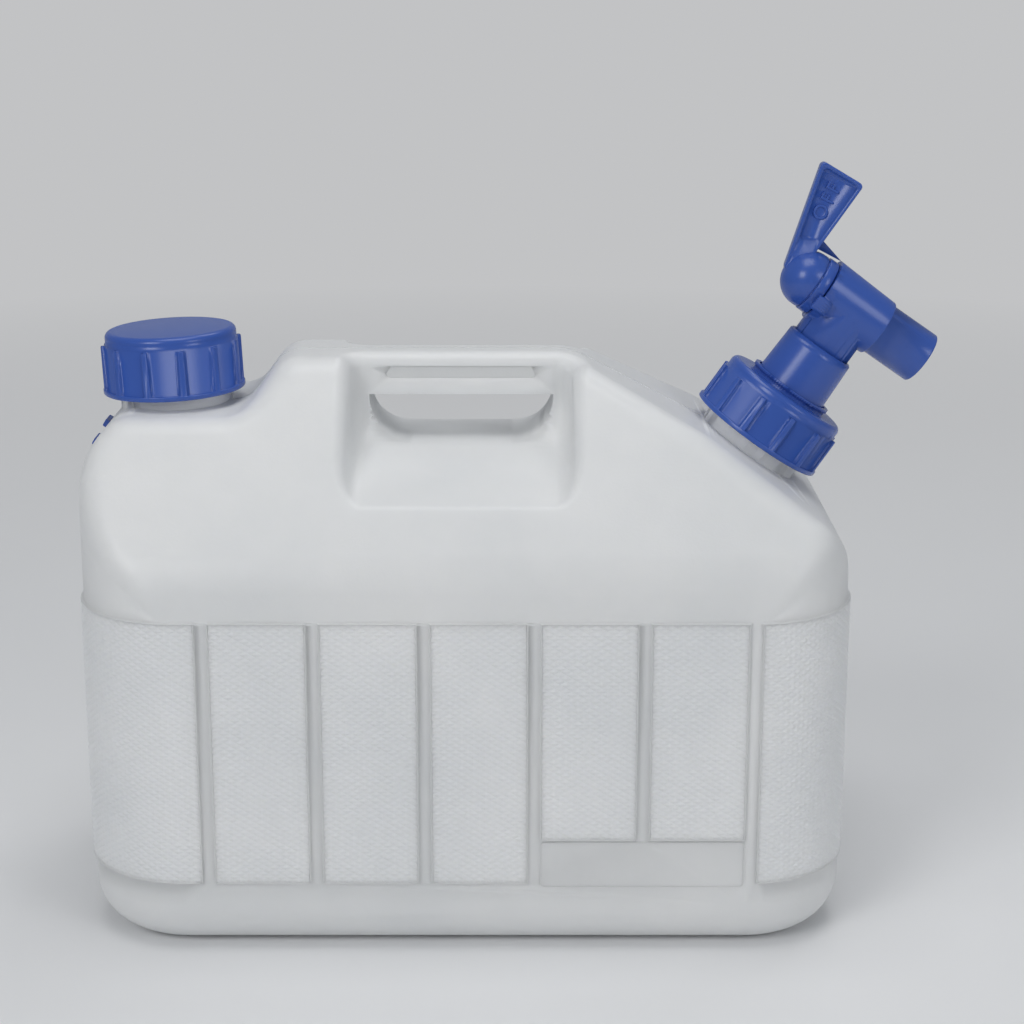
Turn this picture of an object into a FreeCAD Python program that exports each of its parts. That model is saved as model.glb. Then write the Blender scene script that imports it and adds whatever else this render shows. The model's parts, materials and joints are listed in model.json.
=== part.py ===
import FreeCAD, Part
import math
import os

# A ten litre water container with a carrying handle, a screw filler cap, a vent plug and a lever tap.
# Frame: origin at the centre of the base, X towards the tap, Y towards the back, Z up. Millimetres.

V = FreeCAD.Vector
UP = V(0, 0, 1)

# Bottle body
body_length = 308.0
body_depth = 170.0
wall = 2.0
plan_corner_share = 0.24706
base_edge_r = 20.0
soft_edge_r = 14.0
platform_height = 209.5
left_shoulder_drop = 14.3
left_slope = 45.0
left_shoulder_r = 28.0
platform_edge_r = 14.0
hump_rise = 21.5
hump_left_slope = 54.0
hump_foot_r = 15.0
hump_left_r = 14.0
hump_right_r = 30.0
ridge_slope = 27.6
seat_edge_r = 40.0
right_shoulder_r = 30.0
ridge_half_depth = 24.0
front_shoulder_drop = 56.5
front_shoulder_r = 40.0
shoulder_crease = 10.0

# Handle, finger opening and the hand scoops on both sides of it
left_pillar_width = 27.0
bar_depth = 24.0
bar_height = 17.0
bar_groove_height = 5.0
bar_groove_depth = 0.9
bar_groove_rise = 9.0
finger_height = 18.0
finger_corner_r = 17.5
finger_end_margin = 7.5
scoop_floor_rise = 3.0
scoop_slope = 20.3
scoop_bend_r = 22.0
scoop_corner_r = 7.0
scoop_rim_r = 6.0
bar_groove_margin = 14.0
scoop_overrun = 30.0

# Raised panels round the wall
panel_height = 0.9
panel_root = 1.0
panel_bottom = 30.0
panel_pitch = 43.1
panel_gap = 4.5
panel_offset = 5.7
panel_gap_count = 6
short_panel_bottom = 48.5
short_panel_count = 2

# Necks and the coarse screw thread that both share
neck_r = 22.4
neck_wall = 2.4
neck_root = 12.0
thread_pitch = 6.0
thread_height = 2.1
thread_root_width = 2.8
thread_crest_width = 1.4
thread_clearance = 0.5
thread_flank_gap = 0.4
thread_pass_gap = 0.3
thread_sink = 0.5
thread_entry = 5.0
thread_rim_margin = 4.0
thread_skirt_margin = 3.0
screw_skirt_turns = 1.25

# Filler cap and its liner
filler_inset = 33.0
filler_lean = 2.4
filler_cap_standoff = 4.6
filler_cap_height = 25.5
cap_top_wall = 2.2
cap_side_wall = 2.4
cap_band_height = 2.1
cap_band_reach = 1.8
cap_rib_reach = 1.5
cap_rib_width = 2.2
cap_rib_foot_width = 3.0
cap_rib_count = 12
cap_shoulder_height = 5.3
cap_shoulder_step = 0.5
cap_top_r = 2.5
cap_edge_r = 0.6
cap_root_overlap = 1.0
filler_rib_phase = -74.0
hump_gap = 2.1
liner_thickness = 1.6

# Tap neck, ring nut, sleeve and gasket
tap_tilt = 34.5
tap_inset = 37.1
tap_seat_drop = 20.2
seat_margin = 0.2
nut_standoff = 6.0
nut_height = 22.6
nut_top_wall = 2.4
nut_collar_height = 3.0
nut_collar_lip = 1.4
nut_collar_width = 1.75
nut_collar_step = 0.75
nut_hole_clearance = 0.6
nut_rib_phase = -84.5
gasket_thickness = 1.6
flange_thickness = 2.4
sleeve_bore_r = 13.0
sleeve_wall = 2.8
sleeve_rim_wall = 1.8
sleeve_top_drop = 19.1
sleeve_ledge_rise = 5.0
sleeve_ledge_width = 1.4
sleeve_rim_chamfer = 0.8

# Tap body
run_clearance = 0.08
axial_clearance = 0.4
barrel_height = 70.9
stem_bore_r = 8.5
stem_lip_reach = 1.2
stem_lip_height = 2.6
barrel_r = 12.25
barrel_mouth_r = 13.7
barrel_to_mouth = 13.6
barrel_to_step = 15.1
plug_bore_r = 10.0
plug_bore_end = 14.0
nozzle_r = 11.15
nozzle_bore_r = 9.0
nozzle_end = 37.2
nozzle_edge = 0.8
port_r = 5.0
port_wall = 2.0
snap_groove_place = 11.4
snap_groove_width = 2.0
snap_groove_depth = 0.6
stop_start = 96.7
stop_sweep = 24.0
stop_overhang = 2.3
stop_length = 6.3
stop_inner_gap = 0.4
stop_outer_r = 16.2

# Valve plug, head and lever
plug_inner_r = 6.9
plug_reach = 12.3
plug_end_wall = 2.6
snap_bead_height = 0.25
snap_bead_width = 1.2
head_ring_r = 12.2
head_ring_width = 4.3
head_groove_width = 0.5
head_groove_depth = 0.6
dome_r = 11.9
dome_length = 13.0
dome_edge_r = 11.0
head_edge_r = 0.5
lever_thickness = 5.4
lever_top = 43.6
lever_tip_drop = 1.4
lever_inner_reach = 11.2
lever_outer_reach = 31.1
lever_foot_drop = 3.0
lever_foot_r = 4.0
lever_corner_r = 1.8
lever_edge_r = 0.5
lever_rim_width = 1.6
lever_recess_depth = 1.0
lever_recess_foot = 14.0
lever_recess_slant = 5.4
fin_reach = 11.1
fin_root = 1.0
fin_bottom = 12.1
fin_height = 4.3
fin_tip_rise = 1.5
fin_thickness = 2.6

# Round seals: cord radius, and the room between a seal and what it seals against
stem_ring_cord_r = 1.05
plug_ring_cord_r = 0.8
ring_clearance = 0.05
ring_groove_room = 0.2
stem_ring_drop = 12.0
plug_ring_place = 7.9

# Vent plug in a shallow recess on the left shoulder
vent_place = 24.0
vent_aim = 32.0
vent_recess_r = 8.6
vent_recess_depth = 3.0
vent_hole_r = 4.0
vent_boss_wall = 2.0
vent_boss_depth = 8.0
vent_disc_clearance = 0.4
vent_disc_thickness = 2.2
vent_shank_length = 7.0
vent_ear_span = 9.2
vent_ear_length = 3.2
vent_ear_width = 9.0
vent_ear_rise = 3.0

# How far a cutting shape runs past the face that it cuts
cut_overrun = 1.0

# Values that follow from the sizes above
half_length = body_length / 2
half_depth = body_depth / 2
plan_corner_r = body_depth * plan_corner_share
hump_height = platform_height + hump_rise
left_corner_z = platform_height - left_shoulder_drop
front_corner_z = platform_height - front_shoulder_drop
skirt_bore_r = neck_r + thread_height + thread_clearance
skirt_r = skirt_bore_r + cap_side_wall
rib_r = skirt_r + cap_rib_reach
seal_r = skirt_bore_r - thread_height - thread_pass_gap
neck_bore_r = neck_r - neck_wall
filler_x = -half_length + filler_inset
hump_foot_x = filler_x + rib_r + hump_gap
hump_left_x = hump_foot_x + hump_rise / math.tan(math.radians(hump_left_slope))
tap_x = half_length - tap_inset
tap_z = platform_height - tap_seat_drop
seat_run = neck_r + seat_margin
seat_left_x = tap_x - seat_run * math.cos(math.radians(tap_tilt))
seat_left_z = tap_z + seat_run * math.sin(math.radians(tap_tilt))
hump_right_x = seat_left_x - (hump_height - seat_left_z) / math.tan(math.radians(ridge_slope))
right_corner_z = tap_z - tap_inset * math.tan(math.radians(tap_tilt))
scoop_left_x = hump_left_x + left_pillar_width
scoop_right_x = hump_right_x
bar_bottom = hump_height - bar_height
finger_floor = bar_bottom - finger_height
filler_neck_height = filler_cap_standoff + filler_cap_height - cap_top_wall - liner_thickness
tap_flange_top = nut_standoff + nut_height - nut_top_wall
tap_flange_bottom = tap_flange_top - flange_thickness
tap_neck_height = tap_flange_bottom - gasket_thickness
sleeve_top = barrel_height - sleeve_top_drop
sleeve_ledge = tap_flange_bottom + sleeve_ledge_rise
sleeve_low_bore_r = sleeve_bore_r - sleeve_ledge_width
stem_r = sleeve_bore_r - run_clearance
stem_low_r = sleeve_low_bore_r - run_clearance
plug_r = plug_bore_r - run_clearance
sleeve_r = sleeve_bore_r + sleeve_wall
stem_bottom = tap_flange_bottom - axial_clearance - stem_lip_height
head_face = -barrel_to_mouth - axial_clearance
lever_inner = head_face - lever_inner_reach
lever_outer = head_face - lever_outer_reach
stem_ring_z = sleeve_top - stem_ring_drop
slope_turn = math.atan2(half_depth - ridge_half_depth, hump_height - front_corner_z)
panel_top = front_corner_z - front_shoulder_r * math.tan(slope_turn / 2)

filler_place = FreeCAD.Placement(V(filler_x, 0, platform_height), FreeCAD.Rotation(V(0, 1, 0), -filler_lean))
tap_place = FreeCAD.Placement(V(tap_x, 0, tap_z), FreeCAD.Rotation(V(0, 1, 0), tap_tilt))


# Outlines

def on_front(point, y=0.0):
    return V(point[0], y, point[1])


def on_side(point, x=0.0):
    return V(x, point[0], point[1])


def on_plan(point, z=0.0):
    return V(point[0], point[1], z)


def inset_outline(points, distance):
    """Move every side of a counterclockwise outline inwards by the distance."""
    sides = []
    for start, end in zip(points, points[1:] + points[:1]):
        length = math.hypot(end[0] - start[0], end[1] - start[1])
        along = ((end[0] - start[0]) / length, (end[1] - start[1]) / length)
        sides.append(((start[0] - along[1] * distance, start[1] + along[0] * distance), along))
    moved = []
    for (a, u), (b, v) in zip(sides[-1:] + sides[:-1], sides):
        cross = u[0] * v[1] - u[1] * v[0]
        reach = ((b[0] - a[0]) * v[1] - (b[1] - a[1]) * v[0]) / cross
        moved.append((a[0] + u[0] * reach, a[1] + u[1] * reach))
    return moved


def inset_radii(points, radii, distance):
    """Corner radii after an inset: outer corners tighten and inner corners open."""
    result = []
    for i, radius in enumerate(radii):
        before, here, after = points[i - 1], points[i], points[(i + 1) % len(points)]
        turn = ((here[0] - before[0]) * (after[1] - here[1])
                - (here[1] - before[1]) * (after[0] - here[0]))
        if radius == 0:
            result.append(0)
        elif turn > 0:
            result.append(max(0, radius - distance))
        else:
            result.append(radius + distance)
    return result


def rounded_face(points, radii, place):
    """A flat face from an outline whose corners are arcs of the given radii."""
    corners = []
    for i, radius in enumerate(radii):
        here = place(points[i])
        back = (place(points[i - 1]) - here).normalize()
        ahead = (place(points[(i + 1) % len(points)]) - here).normalize()
        if radius == 0:
            corners.append((here, None, here))
            continue
        half_angle = back.getAngle(ahead) / 2
        run = radius / math.tan(half_angle)
        bisector = (back + ahead).normalize()
        middle = here + bisector * (radius / math.sin(half_angle) - radius)
        corners.append((here + back * run, middle, here + ahead * run))
    edges = []
    for i, (start, middle, end) in enumerate(corners):
        if middle is not None:
            edges.append(Part.Arc(start, middle, end).toShape())
        next_start = corners[(i + 1) % len(corners)][0]
        if not next_start.isEqual(end, 1e-6):
            edges.append(Part.LineSegment(end, next_start).toShape())
    return Part.Face(Part.Wire(edges))


def bend_run(before, here, after, radius):
    """How far from a corner its arc starts."""
    back = V(before[0] - here[0], before[1] - here[1], 0)
    ahead = V(after[0] - here[0], after[1] - here[1], 0)
    return radius / math.tan(back.getAngle(ahead) / 2)


def arc_centre(before, here, after, radius):
    """The centre of the arc that rounds a corner."""
    back = V(before[0] - here[0], before[1] - here[1], 0).normalize()
    ahead = V(after[0] - here[0], after[1] - here[1], 0).normalize()
    reach = radius / math.sin(back.getAngle(ahead) / 2)
    centre = V(here[0], here[1], 0) + (back + ahead).normalize() * reach
    return centre.x, centre.y


def shoulder_points(foot, corner, beyond, radius):
    """Where a wall starts to lean in, at a faint crease, and the corner of that lean with the slope beyond."""
    wall_line = V(corner[0] - foot[0], corner[1] - foot[1], 0).normalize()
    slope_line = V(beyond[0] - corner[0], beyond[1] - corner[1], 0).normalize()
    run = bend_run(foot, corner, beyond, radius)
    crease = V(corner[0], corner[1], 0) - wall_line * run
    turn = wall_line.getAngle(slope_line)
    side = math.copysign(1, wall_line.cross(slope_line).z)
    lean = FreeCAD.Rotation(UP, side * shoulder_crease).multVec(wall_line)
    top = crease + lean * (run * math.sin(turn) / math.sin(turn - math.radians(shoulder_crease)))
    return (crease.x, crease.y), (top.x, top.y)


def flat_face(points, place):
    return rounded_face(points, [0] * len(points), place)


def turned(points, radii=None):
    """A solid of revolution about the upright axis from an outline of (radius, height) points."""
    face = rounded_face(points, radii or [0] * len(points), on_front)
    return face.revolve(V(0, 0, 0), UP, 360)


def barrel_turned(points, radii=None):
    """A solid of revolution about the tap's barrel from an outline of (along, radius) points."""
    face = rounded_face(points, radii or [0] * len(points), on_front)
    return face.revolve(V(0, 0, 0), V(1, 0, 0), 360).translate(V(0, 0, barrel_height))


def cylinder(radius, low, high):
    return Part.makeCylinder(radius, high - low, V(0, 0, low))


def ring(outer_r, inner_r, low, high):
    return cylinder(outer_r, low, high).cut(cylinder(inner_r, low, high))


def barrel_ring(outer_r, inner_r, middle, width):
    low, high = middle - width / 2, middle + width / 2
    return barrel_turned([(low, inner_r), (high, inner_r), (high, outer_r), (low, outer_r)])


def box(low, high):
    return Part.makeBox(high[0] - low[0], high[1] - low[1], high[2] - low[2], V(*low))


def moved(shape, place):
    shape.Placement = place.multiply(shape.Placement)
    return shape


def one_solid(shape):
    """The single clean solid that a boolean result holds."""
    solids = shape.removeSplitter().Solids
    if len(solids) != 1:
        raise ValueError("expected one solid, found %d" % len(solids))
    return solids[0]


def shared_edges(shape, first, second):
    """Edges of a shape that lie on the skins of both other solids."""
    near = second.BoundBox
    near.enlarge(1e-3)
    found = []
    for edge in shape.Edges:
        if not near.isInside(edge.BoundBox):
            continue
        middle = Part.Vertex(edge.valueAt((edge.FirstParameter + edge.LastParameter) / 2))
        if max(middle.distToShape(skin)[0] for skin in (second.Shells[0], first.Shells[0])) < 1e-3:
            found.append(edge)
    return found


def sharp_edges(shape, low, least_turn=8.0):
    """Edges above a height where the two faces beside the edge turn by more than the angle in degrees."""
    found = []
    for edge in shape.Edges:
        faces = shape.ancestorsOfType(edge, Part.Face)
        if edge.BoundBox.ZMax < low or len(faces) != 2:
            continue
        middle = edge.valueAt((edge.FirstParameter + edge.LastParameter) / 2)
        normals = [face.normalAt(*face.Surface.parameter(middle)) for face in faces]
        if math.degrees(normals[0].getAngle(normals[1])) > least_turn:
            found.append(edge)
    return found


# Bottle

def front_outline():
    """The bottle seen from the front: filler platform, hump, ridge, tap seat and both shoulders."""
    platform_left_x = -half_length + left_shoulder_drop / math.tan(math.radians(left_slope))
    foot = [(-half_length, 0), (half_length, 0)]
    top = [(seat_left_x, seat_left_z), (hump_right_x, hump_height), (hump_left_x, hump_height),
           (hump_foot_x, platform_height), (platform_left_x, platform_height)]
    right = shoulder_points(foot[1], (half_length, right_corner_z), top[0], right_shoulder_r)
    left = shoulder_points(foot[0], (-half_length, left_corner_z), top[-1], left_shoulder_r)
    radii = [0, 0, 0, right_shoulder_r, seat_edge_r, hump_right_r, hump_left_r,
             hump_foot_r, platform_edge_r, left_shoulder_r, 0]
    return foot + list(right) + top + [left[1], left[0]], radii


def side_outline():
    """The bottle seen from the side: upright walls and slopes that rise to the ridge."""
    foot = [(-half_depth, 0), (half_depth, 0)]
    top = [(ridge_half_depth, hump_height), (-ridge_half_depth, hump_height)]
    back = shoulder_points(foot[1], (half_depth, front_corner_z), top[0], front_shoulder_r)
    front = shoulder_points(foot[0], (-half_depth, front_corner_z), top[1], front_shoulder_r)
    return foot + list(back) + top + [front[1], front[0]], [0, 0, 0, front_shoulder_r, 0, 0, front_shoulder_r, 0]


def plan_outline():
    points = [(-half_length, -half_depth), (half_length, -half_depth),
              (half_length, half_depth), (-half_length, half_depth)]
    return points, [plan_corner_r] * 4


def above_outline(points, radii):
    """The region over an outline's top, between the creases on its right and left walls.

    The outline's first two points are its foot, and the rest run from the right crease to the left one.
    """
    far_x = 2 * body_length
    far_z = 3 * hump_height
    starts = []
    for crease, above in ((points[2], points[3]), (points[-1], points[-2])):
        lean = V(crease[0] - above[0], crease[1] - above[1], 0).normalize() * scoop_overrun
        starts.append((crease[0] + lean.x, crease[1] + lean.y))
    right, left = starts
    region = [(far_x, right[1]), (far_x, far_z), (-far_x, far_z), (-far_x, left[1]), left]
    return region + points[-2:2:-1] + [right], [0] * len(region) + radii[-2:2:-1] + [0]


def body_form(inset):
    """The bottle's outside with every face moved in by the inset, without handle, panels or necks."""
    points, radii = plan_outline()
    face = rounded_face(inset_outline(points, inset), inset_radii(points, radii, inset), on_plan)
    form = face.extrude(V(0, 0, 2 * hump_height)).translate(V(0, 0, inset))
    foot_edges = [edge for edge in form.Edges if edge.BoundBox.ZMax < inset + 1e-3]
    form = form.makeFillet(base_edge_r - inset, foot_edges)
    for (points, radii), place, reach in ((front_outline(), on_front, V(0, 2 * body_depth, 0)),
                                          (side_outline(), on_side, V(2 * body_length, 0, 0))):
        region = above_outline(inset_outline(points, inset), inset_radii(points, radii, inset))
        form = form.cut(rounded_face(*region, place).extrude(reach).translate(reach * -0.5))
    form = one_solid(form)
    return one_solid(form.makeFillet(soft_edge_r - inset, sharp_edges(form, panel_bottom)))


def finger_tunnel(grow):
    """The opening under the handle bar, from front to back, with every side moved out by the distance."""
    left = scoop_left_x + finger_end_margin
    right = scoop_right_x - finger_end_margin
    points = [(left, finger_floor), (right, finger_floor), (right, bar_bottom), (left, bar_bottom)]
    radii = [finger_corner_r, finger_corner_r, 0, 0]
    face = rounded_face(inset_outline(points, -grow), inset_radii(points, radii, -grow), on_front)
    return face.extrude(V(0, body_depth, 0)).translate(V(0, -half_depth, 0))


def hand_scoop(side, grow):
    """The hollow beside the bar on one side: upright at the bar, then bending out to the shoulder."""
    top = hump_height + scoop_overrun
    far = half_depth + scoop_overrun
    bar_face = bar_depth / 2
    bend_z = finger_floor + scoop_floor_rise
    far_z = bend_z - (far - bar_face) * math.tan(math.radians(scoop_slope))
    points = [(bar_face, top), (bar_face, bend_z), (far, far_z), (far, top)]
    radii = inset_radii(points, [0, scoop_bend_r, 0, 0], -grow)
    points = [(side * depth, height) for depth, height in inset_outline(points, -grow)]
    left, right = scoop_left_x - grow, scoop_right_x + grow
    scoop = rounded_face(points, radii, on_side).extrude(V(right - left, 0, 0)).translate(V(left, 0, 0))
    inner_edges = []
    for edge in scoop.Edges:
        middle = edge.CenterOfMass
        on_end = edge.BoundBox.XLength < 1e-3
        if on_end and abs(middle.y) < far - 1e-3 and middle.z < top - 1e-3:
            inner_edges.append(edge)
    return scoop.makeFillet(scoop_corner_r + grow, inner_edges).Solids[0]


def handled_form(inset):
    """The bottle's form with the hand scoops and the finger opening taken out of it."""
    form = body_form(inset)
    result = form
    rims = []
    scoops = [hand_scoop(side, inset) for side in (-1, 1)]
    for scoop in scoops:
        result = one_solid(result.cut(scoop))
    for scoop in scoops:
        rims += shared_edges(result, form, scoop)
    result = one_solid(result.makeFillet(scoop_rim_r - inset, rims))
    return one_solid(result.cut(finger_tunnel(inset)))


def bar_groove(side):
    """A shallow round-ended groove along one side of the handle bar."""
    middle_z = bar_bottom + bar_groove_rise
    left, right = scoop_left_x + bar_groove_margin, scoop_right_x - bar_groove_margin
    low, high = middle_z - bar_groove_height / 2, middle_z + bar_groove_height / 2
    face = rounded_face([(left, low), (right, low), (right, high), (left, high)],
                        [bar_groove_height / 2] * 4, on_front)
    face.translate(V(0, side * (bar_depth / 2 - bar_groove_depth), 0))
    return face.extrude(V(0, side * (bar_groove_depth + cut_overrun), 0))


def wall_panels():
    """Raised panels round the upright wall, parted by narrow gaps, with a plain field at the front's foot."""
    points, radii = plan_outline()
    rise = V(0, 0, panel_top - panel_bottom)
    slabs = []
    for inset in (-panel_height, panel_root):
        face = rounded_face(inset_outline(points, inset), inset_radii(points, radii, inset), on_plan)
        slabs.append(face.extrude(rise).translate(V(0, 0, panel_bottom)))
    first_gap = panel_offset - panel_pitch * (panel_gap_count - 1) / 2
    gap_x = [first_gap + panel_pitch * i for i in range(panel_gap_count)]
    low_z, high_z = panel_bottom - cut_overrun, panel_top + cut_overrun
    openings = [box((-body_length, -panel_gap / 2, low_z), (body_length, panel_gap / 2, high_z))]
    for x in gap_x:
        openings.append(box((x - panel_gap / 2, -body_depth, low_z), (x + panel_gap / 2, body_depth, high_z)))
    openings.append(box((gap_x[-1] - short_panel_count * panel_pitch, -body_depth, low_z),
                        (gap_x[-1], 0, short_panel_bottom)))
    return slabs[0].cut(slabs[1]).cut(openings).Solids


def thread_ridge(radius, low, high, start_angle, outward):
    """A helical ridge that stands out of, or into, a round wall of the given radius."""
    side = 1 if outward else -1
    flank_slope = (thread_root_width - thread_crest_width) / 2 / thread_height
    half_sunk = thread_root_width / 2 + thread_sink * flank_slope
    half_crest = thread_crest_width / 2
    sunk_r = radius - side * thread_sink
    crest_r = radius + side * thread_height
    profile = flat_face([(sunk_r, -half_sunk), (crest_r, -half_crest),
                         (crest_r, half_crest), (sunk_r, half_sunk)], on_front).OuterWire
    spine = Part.Wire(Part.makeHelix(thread_pitch, high - low, radius).Edges)
    ridge = spine.makePipeShell([profile], True, True)
    ridge.translate(V(0, 0, low))
    ridge.rotate(V(0, 0, 0), UP, start_angle)
    return ridge


def neck(height, standoff):
    """A threaded neck, still solid, that starts inside the bottle's wall."""
    low = standoff + thread_entry
    high = height - thread_rim_margin
    return cylinder(neck_r, -neck_root, height).fuse(thread_ridge(neck_r, low, high, 0, True))


def neck_bore(height):
    return cylinder(neck_bore_r, -2 * neck_root, height + cut_overrun)


def vent_spot():
    """The vent's place on the left shoulder, with its axis pointing out."""
    points, radii = front_outline()
    centre = arc_centre(points[-3], points[-2], points[-1], radii[-2])
    turn = math.radians(vent_place)
    spot = V(centre[0] - radii[-2] * math.cos(turn), 0, centre[1] + radii[-2] * math.sin(turn))
    return FreeCAD.Placement(spot, FreeCAD.Rotation(V(0, 1, 0), vent_aim - 90))


def bottle_body():
    shell = handled_form(0)
    shell = shell.cut([bar_groove(side) for side in (-1, 1)])
    necks = [moved(neck(filler_neck_height, filler_cap_standoff), filler_place),
             moved(neck(tap_neck_height, nut_standoff), tap_place)]
    shell = shell.multiFuse(wall_panels() + necks)
    boss = moved(cylinder(vent_recess_r + vent_boss_wall, -vent_boss_depth, 0), vent_spot())
    cavity = handled_form(wall).cut(boss)
    bores = [moved(neck_bore(filler_neck_height), filler_place),
             moved(neck_bore(tap_neck_height), tap_place),
             moved(cylinder(vent_recess_r, -vent_recess_depth, vent_recess_depth), vent_spot()),
             moved(cylinder(vent_hole_r, -vent_boss_depth - cut_overrun, 0), vent_spot())]
    return one_solid(shell.cut(cavity).cut(bores))


# Screw cap and ring nut

def screw_skirt(height, rib_phase):
    """The ribbed outside of a screw cap, still solid, with its foot at height zero."""
    band_r = skirt_r + cap_band_reach
    shoulder_r = skirt_r - cap_shoulder_step
    shoulder = height - cap_shoulder_height
    points = [(0, 0), (band_r, 0), (band_r, cap_band_height), (skirt_r, cap_band_height),
              (skirt_r, shoulder), (shoulder_r, shoulder), (shoulder_r, height), (0, height)]
    skirt = turned(points, [0, cap_edge_r, cap_edge_r, 0, 0, 0, cap_top_r, 0])
    root = skirt_r - cap_root_overlap
    foot = cap_band_height / 2
    face = flat_face([(-cap_rib_foot_width / 2, foot), (cap_rib_foot_width / 2, foot),
                      (cap_rib_width / 2, shoulder), (-cap_rib_width / 2, shoulder)], on_side)
    rib = face.extrude(V(rib_r - root, 0, 0)).translate(V(root, 0, 0))
    front = max(rib.Faces, key=lambda side: side.CenterOfMass.x)
    rib = rib.makeFillet(cap_edge_r, front.Edges)
    ribs = []
    for i in range(cap_rib_count):
        turn = rib_phase + i * 360 / cap_rib_count
        ribs.append(rib.copy().rotate(V(0, 0, 0), UP, turn))
    return skirt.multiFuse(ribs)


def skirt_thread(standoff):
    """The ridge inside a skirt, placed under the neck's ridge so that the flanks nearly touch."""
    flank_slope = (thread_root_width - thread_crest_width) / 2 / thread_height
    flank_shift = thread_root_width - (skirt_bore_r - neck_r) * flank_slope + thread_flank_gap
    skirt_low = standoff + thread_skirt_margin
    neck_low = standoff + thread_entry
    start_angle = 360 * (skirt_low - neck_low + flank_shift) / thread_pitch
    skirt_high = skirt_low + screw_skirt_turns * thread_pitch
    return thread_ridge(skirt_bore_r, skirt_low, skirt_high, start_angle, False)


def filler_cap():
    bore_top = filler_cap_standoff + filler_cap_height - cap_top_wall
    cap = screw_skirt(filler_cap_height, filler_rib_phase).translate(V(0, 0, filler_cap_standoff))
    cap = cap.cut(cylinder(skirt_bore_r, 0, bore_top))
    return moved(one_solid(cap.fuse(skirt_thread(filler_cap_standoff))), filler_place)


def filler_cap_liner():
    return moved(cylinder(seal_r, filler_neck_height, filler_neck_height + liner_thickness), filler_place)


def tap_ring_nut():
    top = nut_standoff + nut_height
    hole_r = sleeve_r + nut_hole_clearance
    lip_r = hole_r + nut_collar_width
    collar_r = lip_r - nut_collar_step
    collar_top = top + nut_collar_height
    nut = screw_skirt(nut_height, nut_rib_phase).translate(V(0, 0, nut_standoff))
    collar = [cylinder(collar_r, top - cut_overrun, collar_top),
              cylinder(lip_r, collar_top - nut_collar_lip, collar_top)]
    nut = nut.multiFuse(collar).cut(cylinder(skirt_bore_r, 0, tap_flange_top))
    nut = nut.cut(cylinder(hole_r, tap_flange_top - cut_overrun, collar_top + cut_overrun))
    return moved(one_solid(nut.fuse(skirt_thread(nut_standoff))), tap_place)


def tap_sleeve():
    rim_r = sleeve_bore_r + sleeve_rim_wall
    points = [(sleeve_low_bore_r, tap_flange_bottom), (seal_r, tap_flange_bottom), (seal_r, tap_flange_top),
              (sleeve_r, tap_flange_top), (rim_r, sleeve_top - sleeve_rim_chamfer),
              (rim_r - sleeve_rim_chamfer, sleeve_top), (sleeve_bore_r, sleeve_top),
              (sleeve_bore_r, sleeve_ledge), (sleeve_low_bore_r, sleeve_ledge)]
    return moved(turned(points), tap_place)


def tap_flange_gasket():
    return moved(ring(seal_r, neck_bore_r, tap_neck_height, tap_flange_bottom), tap_place)


# Tap

def tap_body():
    """Stem, barrel, outlet nozzle and the block that stops the lever, in one moulding."""
    lip_r = sleeve_low_bore_r + stem_lip_reach
    lip_top = stem_bottom + stem_lip_height
    stem = turned([(0, stem_bottom), (stem_low_r, stem_bottom), (lip_r, lip_top - stem_lip_reach),
                   (lip_r, lip_top), (stem_low_r, lip_top), (stem_low_r, sleeve_ledge),
                   (stem_r, sleeve_ledge), (stem_r, barrel_height), (0, barrel_height)])
    barrel = barrel_turned([(-barrel_to_mouth, 0), (nozzle_end, 0), (nozzle_end, nozzle_r),
                            (barrel_to_step, nozzle_r), (barrel_to_step, barrel_r),
                            (-barrel_to_mouth, barrel_mouth_r)],
                           [0, 0, nozzle_edge, 0, nozzle_edge, 0])
    stop_low = -barrel_to_mouth - stop_overhang
    stop_inner_r = head_ring_r + stop_inner_gap
    stop_face = flat_face([(stop_low, stop_inner_r), (stop_low + stop_length, stop_inner_r),
                           (stop_low + stop_length, stop_outer_r), (stop_low, stop_outer_r)], on_front)
    stop = stop_face.revolve(V(0, 0, 0), V(1, 0, 0), stop_sweep)
    stop.rotate(V(0, 0, 0), V(1, 0, 0), stop_start)
    stop.translate(V(0, 0, barrel_height))
    bore_top = barrel_height - plug_bore_r - port_wall
    plug_bore = barrel_turned([(-barrel_to_mouth - cut_overrun, 0), (nozzle_end + cut_overrun, 0),
                               (nozzle_end + cut_overrun, nozzle_bore_r), (plug_bore_end, nozzle_bore_r),
                               (plug_bore_end, plug_bore_r), (-barrel_to_mouth - cut_overrun, plug_bore_r)])
    head_room = barrel_turned([(-2 * stem_r, 0), (-barrel_to_mouth, 0), (-barrel_to_mouth, stop_inner_r),
                               (-2 * stem_r, stop_inner_r)])
    cuts = [head_room, cylinder(stem_bore_r, stem_bottom - cut_overrun, bore_top),
            cylinder(port_r, bore_top - cut_overrun, barrel_height), plug_bore,
            barrel_ring(plug_bore_r + snap_groove_depth, port_r, snap_groove_place, snap_groove_width),
            seal_groove(stem_r, sleeve_bore_r, stem_ring_cord_r, stem_ring_z)]
    return moved(one_solid(stem.multiFuse([barrel, stop]).cut(cuts)), tap_place)


def seal_groove(surface_r, bore_r, cord_r, middle):
    """The groove for a round seal in an upright shaft."""
    half = cord_r + ring_groove_room
    floor_r = bore_r - ring_clearance - 2 * cord_r
    return ring(surface_r + cut_overrun, floor_r, middle - half, middle + half)


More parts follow.
